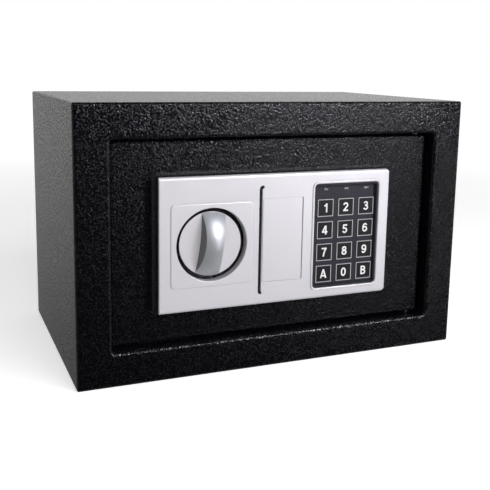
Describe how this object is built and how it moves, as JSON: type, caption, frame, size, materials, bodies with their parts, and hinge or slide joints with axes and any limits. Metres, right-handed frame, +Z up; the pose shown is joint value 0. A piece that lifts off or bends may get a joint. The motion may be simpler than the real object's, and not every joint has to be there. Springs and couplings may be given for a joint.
{
  "type": "electronic safe",
  "caption": "Small black steel security safe with a recessed pivoting plate door, a silver fascia with a turning knob, keypad and key override, and sliding lock bolts.",
  "frame": {"origin": "middle of the bottom of the whole safe's bounding box, on the surface it stands on; the knob's grip counts in the depth", "axes": "+X to the right seen from the front, +Y from the front towards the wall behind, +Z up"},
  "size_m": [0.31, 0.198, 0.2],
  "materials": {
    "powder_coat": "black powder coat with a fine leathery texture",
    "silver_plastic": "satin silver paint on moulded ABS",
    "black_plastic": "fine spark-textured black ABS",
    "grip_plating": "satin chrome plating",
    "key_rubber": "moulded silicone with printed digits",
    "lens": "smoked translucent polycarbonate",
    "bright_steel": "turned bright steel",
    "zinc": "zinc-plated pressed steel",
    "brass": "satin brass",
    "copper": "enamelled copper wire",
    "board": "green solder resist",
    "carpet": "needle-punched charcoal felt",
    "cell_sleeve": "printed foil sleeve with nickel ends",
    "red_plastic": "moulded red plastic"
  },
  "bodies": {
    "cabinet": {"body_shell": "powder_coat", "rear_panel": "powder_coat", "floor_mat": "carpet", "door_stop_upper": "powder_coat", "door_stop_lower": "powder_coat"},
    "door": {"door_plate": "powder_coat", "door_liner": "powder_coat", "liner_screw_1": "zinc", "liner_screw_2": "zinc", "liner_screw_3": "zinc", "liner_screw_4": "zinc", "hinge_block_upper": "powder_coat", "hinge_block_lower": "powder_coat", "hinge_pin_upper": "bright_steel", "hinge_pin_lower": "bright_steel", "fascia_base": "black_plastic", "fascia": "silver_plastic", "keypad_plate": "black_plastic", "indicator_lens": "lens", "keypad_mat": "key_rubber", "circuit_board": "board", "bolt_guide": "zinc", "solenoid_frame": "zinc", "solenoid_coil": "copper", "solenoid_spring": "bright_steel", "override_lock_body": "zinc", "override_lock_nut": "zinc", "battery_tray": "black_plastic", "battery_1": "cell_sleeve", "battery_2": "cell_sleeve", "battery_3": "cell_sleeve", "battery_4": "cell_sleeve", "reset_switch": "black_plastic"},
    "bolts": {"bolt_carriage": "zinc", "bolt_upper": "bright_steel", "bolt_lower": "bright_steel", "bolt_screw_upper": "zinc", "bolt_screw_lower": "zinc"},
    "knob": {"knob_disc": "silver_plastic", "knob_grip": "grip_plating", "knob_spindle": "bright_steel", "knob_crank": "zinc"},
    "solenoid_plunger": {"solenoid_plunger": "bright_steel"},
    "override_cover": {"override_cover": "silver_plastic"},
    "lock_plug": {"override_lock_plug": "brass", "override_lock_cam": "zinc"},
    "battery_cover": {"battery_cover": "black_plastic"},
    "reset_button": {"reset_button": "red_plastic"},
    "key_1": {"key_1": "key_rubber"},
    "key_2": {"key_2": "key_rubber"},
    "key_3": {"key_3": "key_rubber"},
    "key_4": {"key_4": "key_rubber"},
    "key_5": {"key_5": "key_rubber"},
    "key_6": {"key_6": "key_rubber"},
    "key_7": {"key_7": "key_rubber"},
    "key_8": {"key_8": "key_rubber"},
    "key_9": {"key_9": "key_rubber"},
    "key_A": {"key_A": "key_rubber"},
    "key_0": {"key_0": "key_rubber"},
    "key_B": {"key_B": "key_rubber"}
  },
  "joints": [
    {"name": "door_hinge", "type": "hinge", "parent": "cabinet", "child": "door", "pos_m": [0.1215, -0.0755, 0.1], "axis": [0, 0, 1], "range_deg": [0, 100]},
    {"name": "bolt_slide", "type": "slide", "parent": "door", "child": "bolts", "axis": [-1, 0, 0], "range_m": [0, 0.014]},
    {"name": "knob_turn", "type": "hinge", "parent": "door", "child": "knob", "pos_m": [-0.057, -0.091, 0.0982], "axis": [0, -1, 0], "range_deg": [0, 60]},
    {"name": "solenoid_plunge", "type": "slide", "parent": "door", "child": "solenoid_plunger", "axis": [0, 0, 1], "range_m": [0, 0.0045], "deforming": ["solenoid_spring"]},
    {"name": "override_cover_pull", "type": "slide", "parent": "door", "child": "override_cover", "axis": [0, -1, 0], "range_m": [0, 0.015]},
    {"name": "override_lock_turn", "type": "hinge", "parent": "door", "child": "lock_plug", "pos_m": [-0.001, -0.091, 0.098], "axis": [0, 1, 0], "range_deg": [0, 90]},
    {"name": "battery_cover_pull", "type": "slide", "parent": "door", "child": "battery_cover", "axis": [0, 1, 0], "range_m": [0, 0.02]},
    {"name": "reset_press", "type": "slide", "parent": "door", "child": "reset_button", "axis": [0, -1, 0], "range_m": [0, 0.0015], "stiffness_N_per_m": 400},
    {"name": "press_key_1", "type": "slide", "parent": "door", "child": "key_1", "axis": [0, 1, 0], "range_m": [0, 0.0006], "stiffness_N_per_m": 800},
    {"name": "press_key_2", "type": "slide", "parent": "door", "child": "key_2", "axis": [0, 1, 0], "range_m": [0, 0.0006], "stiffness_N_per_m": 800},
    {"name": "press_key_3", "type": "slide", "parent": "door", "child": "key_3", "axis": [0, 1, 0], "range_m": [0, 0.0006], "stiffness_N_per_m": 800},
    {"name": "press_key_4", "type": "slide", "parent": "door", "child": "key_4", "axis": [0, 1, 0], "range_m": [0, 0.0006], "stiffness_N_per_m": 800},
    {"name": "press_key_5", "type": "slide", "parent": "door", "child": "key_5", "axis": [0, 1, 0], "range_m": [0, 0.0006], "stiffness_N_per_m": 800},
    {"name": "press_key_6", "type": "slide", "parent": "door", "child": "key_6", "axis": [0, 1, 0], "range_m": [0, 0.0006], "stiffness_N_per_m": 800},
    {"name": "press_key_7", "type": "slide", "parent": "door", "child": "key_7", "axis": [0, 1, 0], "range_m": [0, 0.0006], "stiffness_N_per_m": 800},
    {"name": "press_key_8", "type": "slide", "parent": "door", "child": "key_8", "axis": [0, 1, 0], "range_m": [0, 0.0006], "stiffness_N_per_m": 800},
    {"name": "press_key_9", "type": "slide", "parent": "door", "child": "key_9", "axis": [0, 1, 0], "range_m": [0, 0.0006], "stiffness_N_per_m": 800},
    {"name": "press_key_A", "type": "slide", "parent": "door", "child": "key_A", "axis": [0, 1, 0], "range_m": [0, 0.0006], "stiffness_N_per_m": 800},
    {"name": "press_key_0", "type": "slide", "parent": "door", "child": "key_0", "axis": [0, 1, 0], "range_m": [0, 0.0006], "stiffness_N_per_m": 800},
    {"name": "press_key_B", "type": "slide", "parent": "door", "child": "key_B", "axis": [0, 1, 0], "range_m": [0, 0.0006], "stiffness_N_per_m": 800}
  ],
  "couplings": [
    {"joint": "knob_turn", "follows": "bolt_slide", "rad_per_m": 74.79}
  ]
}
